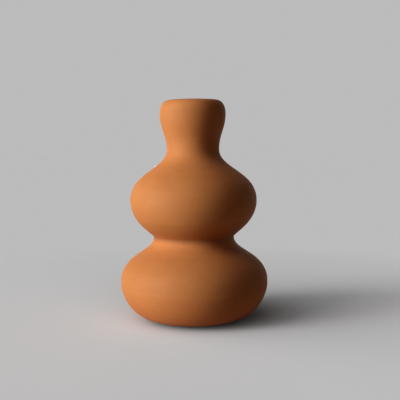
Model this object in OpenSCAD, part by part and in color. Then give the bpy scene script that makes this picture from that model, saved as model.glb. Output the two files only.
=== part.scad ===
// Ceramic vase of two turned bulbs with a flared collar, joined from three thrown sections.
// Millimetres, +Z up. The axis of the vase is the Z axis, and Z = 0 is the face it stands on.

/* [Walls] */
// Thickness of the clay, measured square to the outer face
wall = 5.5; // [4:0.25:6]
// Thickness of the waterproof glaze inside
glaze = 0.5; // [0.3:0.1:1]

/* [Foot] */
// Outer radius of the foot ring
foot_r = 48; // [42:0.5:56]
// Width of the foot ring, from its outer edge to the recess
foot_ring_w = 12; // [9:0.5:16]
// Depth of the recess inside the foot ring
foot_recess = 1; // [0.8:0.1:2]
// Bevel on both lower edges of the foot ring
foot_bevel = 0.4; // [0.2:0.1:0.6]

/* [Lower bulb] */
// Height of the lower section, from the foot ring to the waist
lower_h = 113; // [100:1:130]
// Height of the widest level above the foot ring
lower_belly_up = 52; // [44:1:60]
// Outer radius at the widest level
lower_belly_r = 100.5; // [88:0.5:112]
// Outer radius at the waist, where the two bulbs meet
waist_r = 55; // [46:0.5:62]

/* [Upper bulb] */
// Height of the upper section, from the waist to the throat
upper_h = 118.5; // [105:0.5:135]
// Height of the widest level above the waist
upper_belly_up = 50; // [42:1:56]
// Outer radius at the widest level
upper_belly_r = 86; // [76:0.5:96]
// Outer radius at the throat, the thinnest place of the neck
throat_r = 35.5; // [30:0.5:42]

/* [Neck] */
// Height of the neck section, from the throat to the crest of the lip
neck_h = 66.5; // [56:0.5:80]
// Height of the widest level of the collar above the throat
collar_up = 48; // [38:0.5:50]
// Outer radius of the collar at its widest level
collar_r = 44.5; // [43:0.5:52]
// Radius of the crest of the lip, which turns in from the collar
lip_r = 32.5; // [28:0.5:34]

/* [Joints between the sections] */
// Thickness of the slip that bonds two sections
slip = 0.5; // [0.3:0.1:1]
// Depth of the groove in the lower section and of the tongue that sits in it
tongue_h = 2.5; // [1.5:0.25:4]
// Flat land on each side of the groove
joint_land = 1.1; // [0.8:0.1:1.5]

/* [Foot pads] */
// Thickness of the felt pads under the foot ring
pad_t = 1; // [0.8:0.1:2]
// Bare margin between a pad and the flat of the foot ring's edges
pad_edge = 0.6; // [0.3:0.1:1.5]

/* [Hidden] */

// Faces round each turned piece, and steps along each stretch of the outline
$fn = 120;
stretch_steps = 14;
lip_steps = 8;

// Each stretch of the outline leaves its ends upright or level. A pair of shares says how far
// it holds that direction at its lower and at its upper end, as a share of its rise or width.
foot_curve_shares = [0.75, 0.30];
lower_shoulder_shares = [0.63, 0.34];
upper_underside_shares = [0.10, 0.62];
upper_shoulder_shares = [0.56, 0.37];
neck_flare_shares = [0.42, 0.42];
lip_curve_shares = [0.75, 0.40];

// Levels above the surface that the vase stands on
foot_z = pad_t;
floor_z = foot_z + foot_recess;
lower_belly_z = foot_z + lower_belly_up;
waist_z = foot_z + lower_h;
upper_z = waist_z + slip;
upper_belly_z = upper_z + upper_belly_up;
throat_z = upper_z + upper_h;
neck_z = throat_z + slip;
collar_z = neck_z + collar_up;
crest_z = neck_z + neck_h;

// The six stretches of the outer outline, from the foot up to the crest of the lip
foot_curve = stretch([foot_r, floor_z], [lower_belly_r, lower_belly_z], foot_curve_shares, level_low = 1);
lower_shoulder = stretch([lower_belly_r, lower_belly_z], [waist_r, waist_z], lower_shoulder_shares);
upper_underside = stretch([waist_r, upper_z], [upper_belly_r, upper_belly_z], upper_underside_shares);
upper_shoulder = stretch([upper_belly_r, upper_belly_z], [throat_r, throat_z], upper_shoulder_shares);
neck_flare = stretch([throat_r, neck_z], [collar_r, collar_z], neck_flare_shares);
lip_curve = stretch([collar_r, collar_z], [lip_r, crest_z], lip_curve_shares, level_high = 1);
lined_stretches = [foot_curve, lower_shoulder, upper_underside, upper_shoulder, neck_flare];

// The felt pads sit in the middle of the foot ring, one in each quarter
pad_d = foot_ring_w - 2 * (foot_bevel + pad_edge);
pad_place_r = foot_r - foot_ring_w / 2;
pad_angles = [-45, 45, 135, 225];

clay = "#cd8049";
slip_clay = "#c77a45";
lining_glaze = "#7a4526";
felt = "#5b4a3e";

// Cubic curve from one outline point to the next. level_low and level_high are 1 where the
// curve leaves that end level, and 0 where it leaves it upright.
function stretch(low, high, shares, level_low = 0, level_high = 0) =
    let (run = high - low)
    [
        low,
        low + shares[0] * [level_low * run[0], (1 - level_low) * run[1]],
        high - shares[1] * [level_high * run[0], (1 - level_high) * run[1]],
        high
    ];

function curve_point(curve, t) =
    pow(1 - t, 3) * curve[0]
    + 3 * t * pow(1 - t, 2) * curve[1]
    + 3 * pow(t, 2) * (1 - t) * curve[2]
    + pow(t, 3) * curve[3];

function curve_direction(curve, t) =
    pow(1 - t, 2) * (curve[1] - curve[0])
    + 2 * t * (1 - t) * (curve[2] - curve[1])
    + pow(t, 2) * (curve[3] - curve[2]);

// The unit vector that points from the outer face into the clay
function inward(curve, t) =
    let (along = curve_direction(curve, t))
    [-along[1], along[0]] / norm(along);

// Points along a stretch, set in by a depth below the outer face. first skips shared ends.
function face(curve, depth, first = 0) =
    [for (i = [first:stretch_steps]) curve_point(curve, i / stretch_steps)
        + depth * inward(curve, i / stretch_steps)];

function reversed(points) = [for (i = [len(points) - 1:-1:0]) points[i]];

// The edge of a section across its wall, from the outer to the inner face: a land, the
// flanks of the groove or tongue, and a land
function joint_edge(r, z) =
    [
        [r, z],
        [r - joint_land, z],
        [r - wall / 2, z - tongue_h],
        [r - wall + joint_land, z],
        [r - wall, z]
    ];

// The rounded edge of the lip, from its crest round the mouth to the inner face
lip_edge = [for (i = [1:lip_steps - 1]) let (a = 90 + 180 * i / lip_steps)
    [lip_r + wall / 2 * cos(a), crest_z - wall / 2 + wall / 2 * sin(a)]];

module turned(outline) {
    rotate_extrude() polygon(outline);
}

// The slip between two sections fills the joint from one edge to the other
module seam(r, z) {
    color(slip_clay) turned(concat(joint_edge(r, z), reversed(joint_edge(r, z + slip))));
}

module lower_bulb() {
    foot_ring = [
        [0, floor_z],
        [foot_r - foot_ring_w, floor_z],
        [foot_r - foot_ring_w, foot_z + foot_bevel],
        [foot_r - foot_ring_w + foot_bevel, foot_z],
        [foot_r - foot_bevel, foot_z],
        [foot_r, foot_z + foot_bevel],
        [foot_r, floor_z]
    ];
    outside = concat(face(foot_curve, 0, 1), face(lower_shoulder, 0, 1));
    groove = [for (i = [1:3]) joint_edge(waist_r, waist_z)[i]];
    inside = concat(face(foot_curve, wall), face(lower_shoulder, wall, 1));
    color(clay) turned(concat(foot_ring, outside, groove, reversed(inside), [[0, floor_z + wall]]));
}

module waist_seam() {
    seam(waist_r, waist_z);
}

module upper_bulb() {
    outside = concat(face(upper_underside, 0), face(upper_shoulder, 0, 1));
    groove = [for (i = [1:3]) joint_edge(throat_r, throat_z)[i]];
    inside = concat(face(upper_underside, wall), face(upper_shoulder, wall, 1));
    tongue = [for (i = [3:-1:1]) joint_edge(waist_r, upper_z)[i]];
    color(clay) turned(concat(outside, groove, reversed(inside), tongue));
}

module neck_seam() {
    seam(throat_r, throat_z);
}

module neck() {
    outside = concat(face(neck_flare, 0), face(lip_curve, 0, 1));
    inside = concat(face(neck_flare, wall), face(lip_curve, wall, 1));
    tongue = [for (i = [3:-1:1]) joint_edge(throat_r, neck_z)[i]];
    color(clay) turned(concat(outside, lip_edge, reversed(inside), tongue));
}

// The glaze covers the inside from the floor up to the widest level of the collar
module glaze_lining() {
    clay_side = [for (curve = lined_stretches) each face(curve, wall)];
    water_side = [for (curve = lined_stretches) each face(curve, wall + glaze)];
    middle = [[0, floor_z + wall + glaze], [0, floor_z + wall]];
    color(lining_glaze) turned(concat(middle, clay_side, reversed(water_side)));
}

module foot_pad(angle) {
    color(felt) rotate([0, 0, angle]) translate([pad_place_r, 0, 0]) cylinder(d = pad_d, h = pad_t);
}

lower_bulb();
waist_seam();
upper_bulb();
neck_seam();
neck();
glaze_lining();
foot_pad(pad_angles[0]);  // foot_pad_front_right
foot_pad(pad_angles[1]);  // foot_pad_back_right
foot_pad(pad_angles[2]);  // foot_pad_back_left
foot_pad(pad_angles[3]);  // foot_pad_front_left
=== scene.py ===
import math

import bpy
import numpy as np
from mathutils import Matrix, Vector, noise


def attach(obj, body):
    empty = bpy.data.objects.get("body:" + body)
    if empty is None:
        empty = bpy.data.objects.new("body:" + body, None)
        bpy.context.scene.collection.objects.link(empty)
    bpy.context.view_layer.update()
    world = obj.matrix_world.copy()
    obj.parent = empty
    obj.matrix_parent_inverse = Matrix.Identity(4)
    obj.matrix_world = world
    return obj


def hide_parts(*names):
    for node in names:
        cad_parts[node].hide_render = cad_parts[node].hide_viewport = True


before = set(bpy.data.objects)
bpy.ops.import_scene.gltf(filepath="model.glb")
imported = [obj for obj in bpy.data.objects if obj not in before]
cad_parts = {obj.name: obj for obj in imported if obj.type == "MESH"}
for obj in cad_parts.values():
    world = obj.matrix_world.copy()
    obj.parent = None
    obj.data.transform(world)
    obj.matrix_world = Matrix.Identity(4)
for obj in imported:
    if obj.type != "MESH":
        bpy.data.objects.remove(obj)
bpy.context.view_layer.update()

# Driving sizes of the vase in millimetres, as in the part's source
MM = 0.001
WALL = 5.5
GLAZE = 0.5
FOOT_R = 48
FOOT_RING_W = 12
FOOT_RECESS = 1
FOOT_BEVEL = 0.4
LOWER_H = 113
LOWER_BELLY_UP = 52
LOWER_BELLY_R = 100.5
WAIST_R = 55
UPPER_H = 118.5
UPPER_BELLY_UP = 50
UPPER_BELLY_R = 86
THROAT_R = 35.5
NECK_H = 66.5
COLLAR_UP = 48
COLLAR_R = 44.5
LIP_R = 32.5
SLIP = 0.5
TONGUE_H = 2.5
JOINT_LAND = 1.1
PAD_T = 1
PAD_EDGE = 0.6

# How far each stretch of the outline holds its end directions
FOOT_CURVE_SHARES = (0.75, 0.30)
LOWER_SHOULDER_SHARES = (0.63, 0.34)
UPPER_UNDERSIDE_SHARES = (0.10, 0.62)
UPPER_SHOULDER_SHARES = (0.56, 0.37)
NECK_FLARE_SHARES = (0.42, 0.42)
LIP_CURVE_SHARES = (0.75, 0.40)

# Levels above the surface that the vase stands on
FOOT_Z = PAD_T
FLOOR_Z = FOOT_Z + FOOT_RECESS
WAIST_Z = FOOT_Z + LOWER_H
UPPER_Z = WAIST_Z + SLIP
THROAT_Z = UPPER_Z + UPPER_H
NECK_Z = THROAT_Z + SLIP
COLLAR_Z = NECK_Z + COLLAR_UP
CREST_Z = NECK_Z + NECK_H

# Fineness of the turned meshes
SEGMENTS = 224
STEPS = 30
LIP_STEPS = 14
SHARP_ANGLE = 35

# Hand-made unevenness of the outer face: its swells, its turning rings, and how far it may stand
# proud of the true turned form, which it loses towards the waist
SWELL_DEPTH = 0.25
SWELL_WIDTH = 70
RING_DEPTH = 0.05
RING_PITCH = 4.2
PROUD = 0.3
PROUD_FADE = 30


def stretch(low, high, shares, level_low=0, level_high=0):
    """A cubic curve between two outline points, which leaves each end level or upright."""
    low, high = np.array(low, float), np.array(high, float)
    run = high - low
    return (
        low,
        low + shares[0] * np.array((level_low, 1 - level_low)) * run,
        high - shares[1] * np.array((level_high, 1 - level_high)) * run,
        high,
    )


def face(curve, depth, first=0, steps=STEPS):
    """Points along a stretch, set in by a depth square to the outer face."""
    t = np.arange(first, steps + 1)[:, None] / steps
    a, b, c, d = curve
    point = (1 - t) ** 3 * a + 3 * t * (1 - t) ** 2 * b + 3 * t**2 * (1 - t) * c + t**3 * d
    along = (1 - t) ** 2 * (b - a) + 2 * t * (1 - t) * (c - b) + t**2 * (d - c)
    along /= np.linalg.norm(along, axis=1)[:, None]
    inward = np.stack((-along[:, 1], along[:, 0]), axis=1)
    return point + depth * inward


FOOT_CURVE = stretch(
    (FOOT_R, FLOOR_Z), (LOWER_BELLY_R, FOOT_Z + LOWER_BELLY_UP), FOOT_CURVE_SHARES, level_low=1
)
LOWER_SHOULDER = stretch(
    (LOWER_BELLY_R, FOOT_Z + LOWER_BELLY_UP), (WAIST_R, WAIST_Z), LOWER_SHOULDER_SHARES
)
UPPER_UNDERSIDE = stretch(
    (WAIST_R, UPPER_Z), (UPPER_BELLY_R, UPPER_Z + UPPER_BELLY_UP), UPPER_UNDERSIDE_SHARES
)
UPPER_SHOULDER = stretch(
    (UPPER_BELLY_R, UPPER_Z + UPPER_BELLY_UP), (THROAT_R, THROAT_Z), UPPER_SHOULDER_SHARES
)
NECK_FLARE = stretch((THROAT_R, NECK_Z), (COLLAR_R, COLLAR_Z), NECK_FLARE_SHARES)
LIP_CURVE = stretch((COLLAR_R, COLLAR_Z), (LIP_R, CREST_Z), LIP_CURVE_SHARES, level_high=1)
LINED = (FOOT_CURVE, LOWER_SHOULDER, UPPER_UNDERSIDE, UPPER_SHOULDER, NECK_FLARE)


def joint_edge(r, z):
    """The edge of a section across its wall: a land, the flanks of the groove, and a land."""
    return np.array(
        (
            (r, z),
            (r - JOINT_LAND, z),
            (r - WALL / 2, z - TONGUE_H),
            (r - WALL + JOINT_LAND, z),
            (r - WALL, z),
        )
    )


def hand_made(x, y, z):
    """How far the outer face lies in from the true turned form, in millimetres.

    It may stand a little proud where it stays clear of the widest level and of the waist.
    """
    place = Vector((x, y, z)) / SWELL_WIDTH
    swell = SWELL_DEPTH * (0.5 + 0.5 * noise.noise(place))
    angle = math.atan2(y, x)
    ring = RING_DEPTH * (0.5 + 0.5 * math.sin(2 * math.pi * z / RING_PITCH + angle))
    room = min(PROUD, LOWER_BELLY_R - math.hypot(x, y), abs(z - WAIST_Z) * PROUD / PROUD_FADE)
    return swell + ring - room


def turned(name, outline, uneven=None, centre=(0, 0), segments=SEGMENTS):
    """Turns an outline of (radius, height, is_uneven) rows in millimetres into a closed mesh.

    An outline point on the axis becomes one vertex. The outline runs with the solid on its left.
    uneven moves a point of an uneven row: it gives (radius, height) for a point and its angle.
    """
    verts, rings = [], []
    for r, z, moves in outline:
        if r == 0:
            rings.append([len(verts)] * segments)
            verts.append((centre[0] * MM, centre[1] * MM, z * MM))
            continue
        ring = []
        for i in range(segments):
            angle = 2 * math.pi * i / segments
            pr, pz = uneven(r, z, angle) if moves else (r, z)
            x, y = centre[0] + pr * math.cos(angle), centre[1] + pr * math.sin(angle)
            ring.append(len(verts))
            verts.append((x * MM, y * MM, pz * MM))
        rings.append(ring)
    closed = outline[0][0] != 0
    pairs = list(zip(rings, rings[1:])) + ([(rings[-1], rings[0])] if closed else [])
    faces = []
    for low, high in pairs:
        for i in range(segments):
            j = (i + 1) % segments
            corners = list(dict.fromkeys((low[i], low[j], high[j], high[i])))
            if len(corners) > 2:
                faces.append(corners)
    mesh = bpy.data.meshes.new(name)
    mesh.from_pydata(verts, [], faces)
    mesh.validate()
    mesh.shade_smooth()
    mesh.set_sharp_from_angle(angle=math.radians(SHARP_ANGLE))
    obj = bpy.data.objects.new(name, mesh)
    bpy.context.scene.collection.objects.link(obj)
    return obj


def rows(points, moves):
    return [(float(r), float(z), moves) for r, z in points]


def clay_face(r, z, angle):
    """The outer face with its hand-made unevenness."""
    x, y = r * math.cos(angle), r * math.sin(angle)
    return r - hand_made(x, y, z), z


# Trimming rings cut in the recess under the floor
TRIM_PITCH = 3.2
TRIM_DEPTH = 0.12
TRIM_STEPS = 56


def foot_outline():
    """The underside: the trimmed recess, then the foot ring with its bevelled edges."""
    recess_r = FOOT_R - FOOT_RING_W
    recess = []
    for i in range(TRIM_STEPS):
        r = recess_r * i / TRIM_STEPS
        cut = 0.5 - 0.5 * math.cos(2 * math.pi * r / TRIM_PITCH)
        recess.append((r, FLOOR_Z + TRIM_DEPTH * cut))
    ring = [
        (recess_r, FLOOR_Z),
        (recess_r, FOOT_Z + FOOT_BEVEL),
        (recess_r + FOOT_BEVEL, FOOT_Z),
        (FOOT_R - FOOT_BEVEL, FOOT_Z),
        (FOOT_R, FOOT_Z + FOOT_BEVEL),
        (FOOT_R, FLOOR_Z),
    ]
    return recess + ring


def make_lower_bulb():
    outline = rows(foot_outline(), False)
    outline += rows(face(FOOT_CURVE, 0, 1), True)
    outline += rows(face(LOWER_SHOULDER, 0, 1), True)
    outline += rows(joint_edge(WAIST_R, WAIST_Z)[1:4], False)
    inside = np.vstack((face(FOOT_CURVE, WALL), face(LOWER_SHOULDER, WALL, 1)))
    outline += rows(inside[::-1], False)
    outline += [(0, FLOOR_Z + WALL, False)]
    return turned("lower_bulb_clay", outline, clay_face)


def make_upper_bulb():
    outline = rows(face(UPPER_UNDERSIDE, 0), True)
    outline += rows(face(UPPER_SHOULDER, 0, 1), True)
    outline += rows(joint_edge(THROAT_R, THROAT_Z)[1:4], False)
    inside = np.vstack((face(UPPER_UNDERSIDE, WALL), face(UPPER_SHOULDER, WALL, 1)))
    outline += rows(inside[::-1], False)
    outline += rows(joint_edge(WAIST_R, UPPER_Z)[3:0:-1], False)
    return turned("upper_bulb_clay", outline, clay_face)


def make_neck():
    a = np.radians(90 + 180 * np.arange(1, LIP_STEPS) / LIP_STEPS)
    lip_z = CREST_Z - WALL / 2 + WALL / 2 * np.sin(a)
    lip = np.stack((LIP_R + WALL / 2 * np.cos(a), lip_z), axis=1)
    outline = rows(face(NECK_FLARE, 0), True)
    outline += rows(face(LIP_CURVE, 0, 1), True)
    outline += rows(lip, True)
    inside = np.vstack((face(NECK_FLARE, WALL), face(LIP_CURVE, WALL, 1)))
    outline += rows(inside[::-1], False)
    outline += rows(joint_edge(THROAT_R, NECK_Z)[3:0:-1], False)
    return turned("neck_clay", outline, clay_face)


def make_seam(name, r, z):
    low, high = joint_edge(r, z), joint_edge(r, z + SLIP)
    outline = rows(low[:1], True) + rows(low[1:], False)
    outline += rows(high[:0:-1], False) + rows(high[:1], True)
    outline.reverse()
    return turned(name, outline, clay_face)


# The edge of the glaze inside the collar runs a little up and down
GLAZE_EDGE_WAVE = 2.0
GLAZE_EDGE_ZONE = 14
GLAZE_EDGE_TURNS = 1.6


def glaze_edge(r, z, angle):
    """Lowers the top of the lining by a wavy amount that fades out below it."""
    near = max(0.0, 1 - (COLLAR_Z - z) / GLAZE_EDGE_ZONE)
    around = Vector((math.cos(angle), math.sin(angle), 0))
    wave = 0.5 + 0.5 * noise.noise(around * GLAZE_EDGE_TURNS)
    return r, z - GLAZE_EDGE_WAVE * wave * near


def make_glaze_lining():
    clay_side = np.vstack([face(curve, WALL) for curve in LINED])
    water_side = np.vstack([face(curve, WALL + GLAZE) for curve in LINED])
    outline = [(0, FLOOR_Z + WALL, False)]
    outline += rows(clay_side, True)
    outline += rows(water_side[::-1], True)
    outline += [(0, FLOOR_Z + WALL + GLAZE, False)]
    return turned("glaze_inside", outline, glaze_edge)


# The felt pads: their rounded edge and the fuzz of their cut side
PAD_R = FOOT_RING_W / 2 - FOOT_BEVEL - PAD_EDGE
PAD_PLACE_R = FOOT_R - FOOT_RING_W / 2
PAD_ROUND = 0.25
PAD_ROUND_DEGREES = (0, 30, 60, 90)
PAD_FUZZ = 0.12
PAD_FUZZ_FINENESS = 2.3
PAD_SEGMENTS = 72
PADS = {
    "foot_pad_front_right": -45,
    "foot_pad_back_right": 45,
    "foot_pad_back_left": 135,
    "foot_pad_front_left": 225,
}


def make_pad(name, degrees):
    """A felt disc with rounded edges, whose cut side is a little fuzzy."""
    place = math.radians(degrees)
    centre = (PAD_PLACE_R * math.cos(place), PAD_PLACE_R * math.sin(place))

    def fuzzy(r, z, angle):
        at = Vector((centre[0] + r * math.cos(angle), centre[1] + r * math.sin(angle), z))
        return r - PAD_FUZZ * (0.5 + 0.5 * noise.noise(at * PAD_FUZZ_FINENESS)), z

    low = [(PAD_R - PAD_ROUND + PAD_ROUND * math.sin(a), PAD_ROUND - PAD_ROUND * math.cos(a))
           for a in np.radians(PAD_ROUND_DEGREES)]
    high = [(r, PAD_T - z) for r, z in reversed(low)]
    outline = [(0, 0, False)] + rows([(PAD_R / 2, 0)], False)
    outline += rows(low + high, True) + rows([(PAD_R / 2, PAD_T)], False) + [(0, PAD_T, False)]
    return turned(name + "_felt", outline, fuzzy, centre, PAD_SEGMENTS)


def new_material(name):
    mat = bpy.data.materials.new(name)
    mat.use_nodes = True
    return mat


def add(tree, kind, **settings):
    """Adds a node; a setting that names one of its inputs sets that input's value."""
    n = tree.nodes.new(kind)
    for key, value in settings.items():
        label = key.replace("_", " ").title()
        if label in n.inputs:
            n.inputs[label].default_value = value
        else:
            setattr(n, key, value)
    return n


def noise_of(tree, place, scale, detail, rough=0.5):
    """Noise from 0 to 1 at a place."""
    n = add(tree, "ShaderNodeTexNoise", scale=scale, detail=detail, roughness=rough)
    tree.links.new(place, n.inputs["Vector"])
    return n.outputs["Fac"]


def math_of(tree, operation, a, b, c=None):
    """One arithmetic step; each of a, b and c is a socket or a number."""
    n = add(tree, "ShaderNodeMath", operation=operation)
    for socket, value in zip(n.inputs, (a, b, c)):
        if value is None:
            continue
        if isinstance(value, bpy.types.NodeSocket):
            tree.links.new(value, socket)
        else:
            socket.default_value = value
    return n.outputs[0]


def band(tree, value, low, high, to_low=0.0, to_high=1.0):
    """A value mapped from one range to another and held inside it."""
    n = add(tree, "ShaderNodeMapRange", clamp=True)
    tree.links.new(value, n.inputs["Value"])
    ends = {"From Min": low, "From Max": high, "To Min": to_low, "To Max": to_high}
    for label, number in ends.items():
        n.inputs[label].default_value = number
    return n.outputs["Result"]


# The sockets of a Mix node that hold its two colours and the colour that it gives
MIX_FIRST = 6
MIX_SECOND = 7
MIX_RESULT = 2


def blend_of(tree, factor, a, b, kind="MIX"):
    """Two colours mixed by a factor; each of a and b is a socket or a colour."""
    n = add(tree, "ShaderNodeMix", data_type="RGBA", blend_type=kind)
    pairs = ((n.inputs["Factor"], factor), (n.inputs[MIX_FIRST], a), (n.inputs[MIX_SECOND], b))
    for socket, value in pairs:
        if isinstance(value, bpy.types.NodeSocket):
            tree.links.new(value, socket)
        elif isinstance(value, tuple):
            socket.default_value = (*value, 1)
        else:
            socket.default_value = value
    return n.outputs[MIX_RESULT]


def toned(tree, share, colour, tone):
    """A colour multiplied by a tone, where share is 1, and as it was where it is 0."""
    return blend_of(tree, share, colour, blend_of(tree, 1.0, colour, tone, "MULTIPLY"))


def place_of(tree, stretch_xyz=(1, 1, 1)):
    """The place on the object, in metres, stretched along each axis."""
    coords = add(tree, "ShaderNodeTexCoord")
    mapping = add(tree, "ShaderNodeMapping", scale=stretch_xyz)
    tree.links.new(coords.outputs["Object"], mapping.inputs["Vector"])
    return mapping.outputs["Vector"]


def height_of(tree):
    """The height on the object, in metres."""
    coords = add(tree, "ShaderNodeTexCoord")
    split = add(tree, "ShaderNodeSeparateXYZ")
    tree.links.new(coords.outputs["Object"], split.inputs["Vector"])
    return split.outputs["Z"]


def bump_of(tree, height, depth, under=None):
    """A bump as deep as depth in millimetres, over the bump under it."""
    n = add(tree, "ShaderNodeBump", strength=1.0, distance=depth * MM)
    tree.links.new(height, n.inputs["Height"])
    if under is not None:
        tree.links.new(under, n.inputs["Normal"])
    return n.outputs["Normal"]


# Terracotta: the fired colour and how it varies
CLAY = (0.62, 0.215, 0.059)
CLAY_PALE = (0.66, 0.236, 0.068)
CLAY_DEEP = (0.575, 0.192, 0.050)
CLAY_WORN = (0.69, 0.28, 0.105)
GROG = (0.38, 0.12, 0.038)

# Each noise in the clay: its scale, detail and roughness
CLOUD_NOISE = (16, 4, 0.55)
PATCH_NOISE = (55, 3, 0.6)
GRAIN_NOISE = (850, 3, 0.65)
FINE_NOISE = (2600, 2)
TURNING_NOISE = (1.0, 3, 0.6)
TURNING_STRETCH = (5, 5, 290)

# Where a noise changes the colour: the range of it that counts, and the share at both its ends
PALE_CLOUDS = (0.35, 0.65)
DEEP_PATCHES = (0.5, 0.75, 0, 0.5)
DEEP_TURNING = (0.5, 0.72, 0, 0.28)
DEEP_GRAIN = (0.52, 0.78, 0, 0.45)
PALE_GRAIN = (0.26, 0.46, 0.35, 0)
WORN_PATCHES = (0.38, 0.6, 0.1, 0.6)
LIP_WEAR_DOWN = 4

# Grog specks: how close they can lie, their soft edge, how few of them show, and how strongly
SPECK_SCALE = 310
SPECK_EDGE = (0.10, 0.20, 1, 0)
SPECK_CHOICE = (0.90, 0.93)
SPECK_SHARE = 0.55

# Roughness rises with the grain. The relief is grain, finer grain and pits at the specks.
CLAY_ROUGHNESS = 0.56
CLAY_ROUGHNESS_BY_GRAIN = 0.20
CLAY_SPECULAR = 0.2
FINE_RELIEF = 0.35
PIT_RELIEF = -0.5
GRAIN_BUMP = 0.12
TURNING_BUMP = 0.16

# Painted shade in the pinch of the waist, up the underside more than down
WAIST_PAINTED_SHADE = (0.67, 0.64, 0.62)
WAIST_FADE_UP = 25
WAIST_FADE_DOWN = 5

# Painted warm bounce light makes the lower bulb a little redder towards the foot, and a painted
# contact shadow darkens it where it meets the foot
FOOT_PAINTED_BOUNCE = (1.05, 0.91, 0.91)
FOOT_FADE = (10, 60)
CONTACT_PAINTED_SHADOW = (0.35, 0.28, 0.25)
CONTACT_SHADOW_UP = 8


def clay_material():
    """Matt fired clay: broad clouding, fine grain, grog specks, turning rings and a worn lip."""
    mat = new_material("terracotta")
    tree = mat.node_tree
    shader = tree.nodes["Principled BSDF"]
    place = place_of(tree)
    cloud = noise_of(tree, place, *CLOUD_NOISE)
    patch = noise_of(tree, place, *PATCH_NOISE)
    grain = noise_of(tree, place, *GRAIN_NOISE)
    fine = noise_of(tree, place, *FINE_NOISE)
    turning = noise_of(tree, place_of(tree, TURNING_STRETCH), *TURNING_NOISE)
    colour = blend_of(tree, band(tree, cloud, *PALE_CLOUDS), CLAY, CLAY_PALE)
    colour = blend_of(tree, band(tree, patch, *DEEP_PATCHES), colour, CLAY_DEEP)
    colour = blend_of(tree, band(tree, turning, *DEEP_TURNING), colour, CLAY_DEEP)
    colour = blend_of(tree, band(tree, grain, *DEEP_GRAIN), colour, CLAY_DEEP)
    colour = blend_of(tree, band(tree, grain, *PALE_GRAIN), colour, CLAY_PALE)

    specks = add(tree, "ShaderNodeTexVoronoi", scale=SPECK_SCALE)
    tree.links.new(place, specks.inputs["Vector"])
    pick = add(tree, "ShaderNodeSeparateColor")
    tree.links.new(specks.outputs["Color"], pick.inputs["Color"])
    near = band(tree, specks.outputs["Distance"], *SPECK_EDGE)
    chosen = band(tree, pick.outputs["Red"], *SPECK_CHOICE)
    speck = math_of(tree, "MULTIPLY", near, chosen)
    colour = blend_of(tree, math_of(tree, "MULTIPLY", speck, SPECK_SHARE), colour, GROG)

    z = height_of(tree)
    # Painted shade: the clay is darkened in the crease of the waist, where shade falls
    above = band(tree, z, UPPER_Z * MM, (UPPER_Z + WAIST_FADE_UP) * MM, 1, 0)
    below = band(tree, z, (WAIST_Z - WAIST_FADE_DOWN) * MM, WAIST_Z * MM)
    colour = toned(tree, math_of(tree, "MINIMUM", above, below), colour, WAIST_PAINTED_SHADE)
    # Painted warm bounce light: the lower bulb is made redder towards the foot
    foot = band(tree, z, FOOT_FADE[0] * MM, FOOT_FADE[1] * MM, 1, 0)
    colour = toned(tree, foot, colour, FOOT_PAINTED_BOUNCE)
    # Painted contact shadow: the clay is darkened just above the foot, where it meets the floor
    low = band(tree, z, FOOT_Z * MM, (FOOT_Z + CONTACT_SHADOW_UP) * MM, 1, 0)
    colour = toned(tree, low, colour, CONTACT_PAINTED_SHADOW)
    lip = band(tree, z, (CREST_Z - LIP_WEAR_DOWN) * MM, CREST_Z * MM)
    rubbed = math_of(tree, "MULTIPLY", lip, band(tree, patch, *WORN_PATCHES))
    colour = blend_of(tree, rubbed, colour, CLAY_WORN)
    tree.links.new(colour, shader.inputs["Base Color"])

    rough = math_of(tree, "MULTIPLY_ADD", grain, CLAY_ROUGHNESS_BY_GRAIN, CLAY_ROUGHNESS)
    tree.links.new(rough, shader.inputs["Roughness"])
    shader.inputs["Specular IOR Level"].default_value = CLAY_SPECULAR
    relief = math_of(tree, "MULTIPLY_ADD", fine, FINE_RELIEF, grain)
    relief = math_of(tree, "MULTIPLY_ADD", speck, PIT_RELIEF, relief)
    bump = bump_of(tree, relief, GRAIN_BUMP)
    bump = bump_of(tree, turning, TURNING_BUMP, bump)
    tree.links.new(bump, shader.inputs["Normal"])
    return mat


# Glaze: thin and pale at its edge, with runs down the wall and waves in its gloss
GLAZE_DEEP = (0.085, 0.028, 0.012)
GLAZE_THIN = (0.26, 0.09, 0.033)
GLAZE_THIN_DOWN = 45
RUN_NOISE = (1.0, 3)
RUN_STRETCH = (60, 60, 9)
RUN_SHIFT = (0.3, 0.7, -0.25, 0.25)
WAVE_NOISE = (90, 2)
GLAZE_ROUGHNESS = (0.3, 0.7, 0.10, 0.24)
GLAZE_SPECULAR = 0.5
GLAZE_COAT = 0.6
GLAZE_COAT_ROUGHNESS = 0.06
WAVE_BUMP = 0.6


def glaze_material():
    """Brown gloss glaze over clay: thin and pale at its edge, pooled and dark further down."""
    mat = new_material("inside_glaze")
    tree = mat.node_tree
    shader = tree.nodes["Principled BSDF"]
    runs = noise_of(tree, place_of(tree, RUN_STRETCH), *RUN_NOISE)
    thin = band(tree, height_of(tree), (COLLAR_Z - GLAZE_THIN_DOWN) * MM, COLLAR_Z * MM)
    thin = math_of(tree, "ADD", thin, band(tree, runs, *RUN_SHIFT))
    colour = blend_of(tree, band(tree, thin, 0, 1), GLAZE_DEEP, GLAZE_THIN)
    tree.links.new(colour, shader.inputs["Base Color"])
    waves = noise_of(tree, place_of(tree), *WAVE_NOISE)
    tree.links.new(band(tree, waves, *GLAZE_ROUGHNESS), shader.inputs["Roughness"])
    shader.inputs["Specular IOR Level"].default_value = GLAZE_SPECULAR
    shader.inputs["Coat Weight"].default_value = GLAZE_COAT
    shader.inputs["Coat Roughness"].default_value = GLAZE_COAT_ROUGHNESS
    tree.links.new(bump_of(tree, waves, WAVE_BUMP), shader.inputs["Normal"])
    return mat


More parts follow.
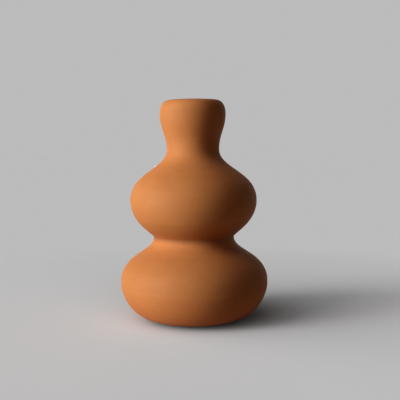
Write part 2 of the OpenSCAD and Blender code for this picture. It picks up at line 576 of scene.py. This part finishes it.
# Felt: fibres that lie both ways, and the soft nap over them
FELT_DARK = (0.060, 0.040, 0.028)
FELT_PALE = (0.150, 0.105, 0.075)
FIBRE_NOISE = (3800, 4, 0.7)
FIBRE_STRETCH = (1, 0.35, 1)
CROSS_FIBRE_NOISE = (3100, 4, 0.7)
CROSS_FIBRE_STRETCH = (0.35, 1, 1)
PALE_FIBRES = (0.42, 0.72)
FELT_ROUGHNESS = (0.3, 0.7, 0.85, 1.0)
FELT_SPECULAR = 0.15
FELT_SHEEN = 0.35
FELT_SHEEN_ROUGHNESS = 0.5
FIBRE_BUMP = 0.25


def felt_material():
    """Pressed wool felt: mixed fibres and a soft nap."""
    mat = new_material("pressed_felt")
    tree = mat.node_tree
    shader = tree.nodes["Principled BSDF"]
    fibres = noise_of(tree, place_of(tree, FIBRE_STRETCH), *FIBRE_NOISE)
    across = noise_of(tree, place_of(tree, CROSS_FIBRE_STRETCH), *CROSS_FIBRE_NOISE)
    weave = math_of(tree, "MAXIMUM", fibres, across)
    colour = blend_of(tree, band(tree, weave, *PALE_FIBRES), FELT_DARK, FELT_PALE)
    tree.links.new(colour, shader.inputs["Base Color"])
    tree.links.new(band(tree, weave, *FELT_ROUGHNESS), shader.inputs["Roughness"])
    shader.inputs["Specular IOR Level"].default_value = FELT_SPECULAR
    shader.inputs["Sheen Weight"].default_value = FELT_SHEEN
    shader.inputs["Sheen Roughness"].default_value = FELT_SHEEN_ROUGHNESS
    tree.links.new(bump_of(tree, weave, FIBRE_BUMP), shader.inputs["Normal"])
    return mat


def dress(obj, mat, slot, *nodes):
    """Gives a piece its material, and lets it stand for CAD nodes on the one body."""
    obj.data.materials.append(mat)
    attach(obj, "root")
    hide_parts(*nodes)


terracotta = clay_material()
dress(make_lower_bulb(), terracotta, "clay", "lower_bulb")
dress(make_upper_bulb(), terracotta, "clay", "upper_bulb")
dress(make_neck(), terracotta, "clay", "neck")
dress(make_seam("waist_slip", WAIST_R, WAIST_Z), terracotta, "slip", "waist_seam")
dress(make_seam("neck_slip", THROAT_R, THROAT_Z), terracotta, "slip", "neck_seam")
dress(make_glaze_lining(), glaze_material(), "glaze", "glaze_lining")
felt = felt_material()
for pad_name, pad_angle in PADS.items():
    dress(make_pad(pad_name, pad_angle), felt, "felt", pad_name)


# Camera, at the viewing angle that the outline of the vase gives: its place and its sensor in
# millimetres, its angles in degrees, and the depth in metres that it sees
CAMERA_AT = (8.84, -987.1, 240.9)
CAMERA_PITCH = 4.442
CAMERA_ROLL = 0.539
FOCAL_PIXELS = 723.6
FRAME_PIXELS = 400
SENSOR = 36
NEAREST = 0.01
FURTHEST = 100


def make_camera():
    data = bpy.data.cameras.new("camera")
    camera = bpy.data.objects.new("camera", data)
    bpy.context.scene.collection.objects.link(camera)
    data.sensor_width = SENSOR
    data.lens = FOCAL_PIXELS / FRAME_PIXELS * SENSOR
    data.clip_start = NEAREST
    data.clip_end = FURTHEST
    pitch, roll = math.radians(CAMERA_PITCH), math.radians(CAMERA_ROLL)
    ahead = Vector((0, math.cos(pitch), -math.sin(pitch)))
    level_up = Vector((0, math.sin(pitch), math.cos(pitch)))
    level_right = Vector((1, 0, 0))
    right = math.cos(roll) * level_right - math.sin(roll) * level_up
    up = math.sin(roll) * level_right + math.cos(roll) * level_up
    turn = Matrix((right, up, -ahead)).transposed()
    camera.matrix_world = Matrix.Translation(Vector(CAMERA_AT) * MM) @ turn.to_4x4()
    bpy.context.scene.camera = camera


# Studio lamps: azimuth, elevation and spread in degrees, strength, colour. The low soft key
# from the left does most of it, a higher one opens its shadows, and a weak one lights the back.
LAMPS = {
    "key": (-70, 6, 30, 4.0, (0.90, 1.0, 0.99)),
    "high": (-58, 32, 30, 1.03, (1.0, 0.83, 0.84)),
    "back": (180, 0, 20, 0.80, (1.0, 1.0, 1.0)),
}

# The backdrop, and what the world throws on the object, which is nothing
BACKDROP_COLOUR = (0.501, 0.500, 0.500)
WORLD_COLOUR = (0.0, 0.0, 0.0)

# The floor: its size in metres, the colour that it throws back on the object, and the colour
# and soft light that it has to look at. That light comes from an azimuth and elevation. What
# stands within its reach takes it away, and the power makes that shadow deeper.
FLOOR_RADIUS = 12
FLOOR_SIDES = 128
FLOOR_SHADE = (0.36, 0.245, 0.18)
FLOOR_SEEN = (0.53, 0.54, 0.54)
FLOOR_OPEN = (0.333, 0.334, 0.334)
FLOOR_OPEN_FROM = (-48, 18)
FLOOR_OPEN_REACH = 0.6
FLOOR_OPEN_POWER = 1.8


def towards(azimuth, elevation):
    """A direction in degrees. Azimuth 0 is the camera's side, and minus is to its left."""
    a, e = math.radians(azimuth), math.radians(elevation)
    return Vector((math.sin(a) * math.cos(e), -math.cos(a) * math.cos(e), math.sin(e)))


def sun(name, azimuth, elevation, spread, strength, colour):
    """A far soft light."""
    data = bpy.data.lights.new(name, "SUN")
    data.energy = strength
    data.angle = math.radians(spread)
    data.color = colour
    light = bpy.data.objects.new(name, data)
    bpy.context.scene.collection.objects.link(light)
    light.rotation_mode = "QUATERNION"
    light.rotation_quaternion = towards(azimuth, elevation).to_track_quat("Z", "Y")


def seen_rays(tree):
    """1 for what the camera sees, straight or in gloss and glass, and 0 for light on the object."""
    rays = add(tree, "ShaderNodeLightPath").outputs
    shiny = math_of(tree, "MAXIMUM", rays["Is Glossy Ray"], rays["Is Transmission Ray"])
    return math_of(tree, "MAXIMUM", rays["Is Camera Ray"], shiny)


def make_world():
    """A plain pale backdrop to look at, which throws no light of its own on the object."""
    world = bpy.data.worlds.new("studio")
    bpy.context.scene.world = world
    world.use_nodes = True
    tree = world.node_tree
    tree.nodes.clear()
    thrown = add(tree, "ShaderNodeBackground", color=(*WORLD_COLOUR, 1))
    seen = add(tree, "ShaderNodeBackground", color=(*BACKDROP_COLOUR, 1))
    mix = add(tree, "ShaderNodeMixShader")
    out = add(tree, "ShaderNodeOutputWorld")
    tree.links.new(seen_rays(tree), mix.inputs[0])
    tree.links.new(thrown.outputs[0], mix.inputs[1])
    tree.links.new(seen.outputs[0], mix.inputs[2])
    tree.links.new(mix.outputs[0], out.inputs["Surface"])


def make_floor():
    """A plain floor, pale to look at and warm grey in the light that it throws back.

    To look at, it has a soft light of its own as well, from the key's side, which is lost where
    the object stands in its way.
    """
    ring = [
        (FLOOR_RADIUS * math.cos(2 * math.pi * i / FLOOR_SIDES),
         FLOOR_RADIUS * math.sin(2 * math.pi * i / FLOOR_SIDES), 0)
        for i in range(FLOOR_SIDES)
    ]
    mesh = bpy.data.meshes.new("floor")
    mesh.from_pydata(ring, [], [list(range(FLOOR_SIDES))])
    floor = bpy.data.objects.new("floor", mesh)
    bpy.context.scene.collection.objects.link(floor)
    mat = new_material("floor")
    tree = mat.node_tree
    tree.nodes.clear()
    shade = add(tree, "ShaderNodeBsdfDiffuse", color=(*FLOOR_SHADE, 1))
    seen = add(tree, "ShaderNodeBsdfDiffuse", color=(*FLOOR_SEEN, 1))
    side = add(tree, "ShaderNodeCombineXYZ")
    direction = towards(*FLOOR_OPEN_FROM)
    for socket, value in zip(side.inputs, direction):
        socket.default_value = value
    clear = add(tree, "ShaderNodeAmbientOcclusion", distance=FLOOR_OPEN_REACH)
    soft = add(tree, "ShaderNodeEmission", color=(*FLOOR_OPEN, 1))
    both = add(tree, "ShaderNodeAddShader")
    mix = add(tree, "ShaderNodeMixShader")
    out = add(tree, "ShaderNodeOutputMaterial")
    tree.links.new(side.outputs["Vector"], clear.inputs["Normal"])
    under_floor = (1 - direction.z) / 2
    share = band(tree, clear.outputs["AO"], under_floor, 1)
    tree.links.new(math_of(tree, "POWER", share, FLOOR_OPEN_POWER), soft.inputs["Strength"])
    tree.links.new(seen.outputs[0], both.inputs[0])
    tree.links.new(soft.outputs[0], both.inputs[1])
    tree.links.new(seen_rays(tree), mix.inputs[0])
    tree.links.new(shade.outputs[0], mix.inputs[1])
    tree.links.new(both.outputs[0], mix.inputs[2])
    tree.links.new(mix.outputs[0], out.inputs["Surface"])
    mesh.materials.append(mat)


make_camera()
make_world()
make_floor()
for lamp_name, lamp in LAMPS.items():
    sun(lamp_name, *lamp)
bpy.context.scene.view_settings.view_transform = "Standard"
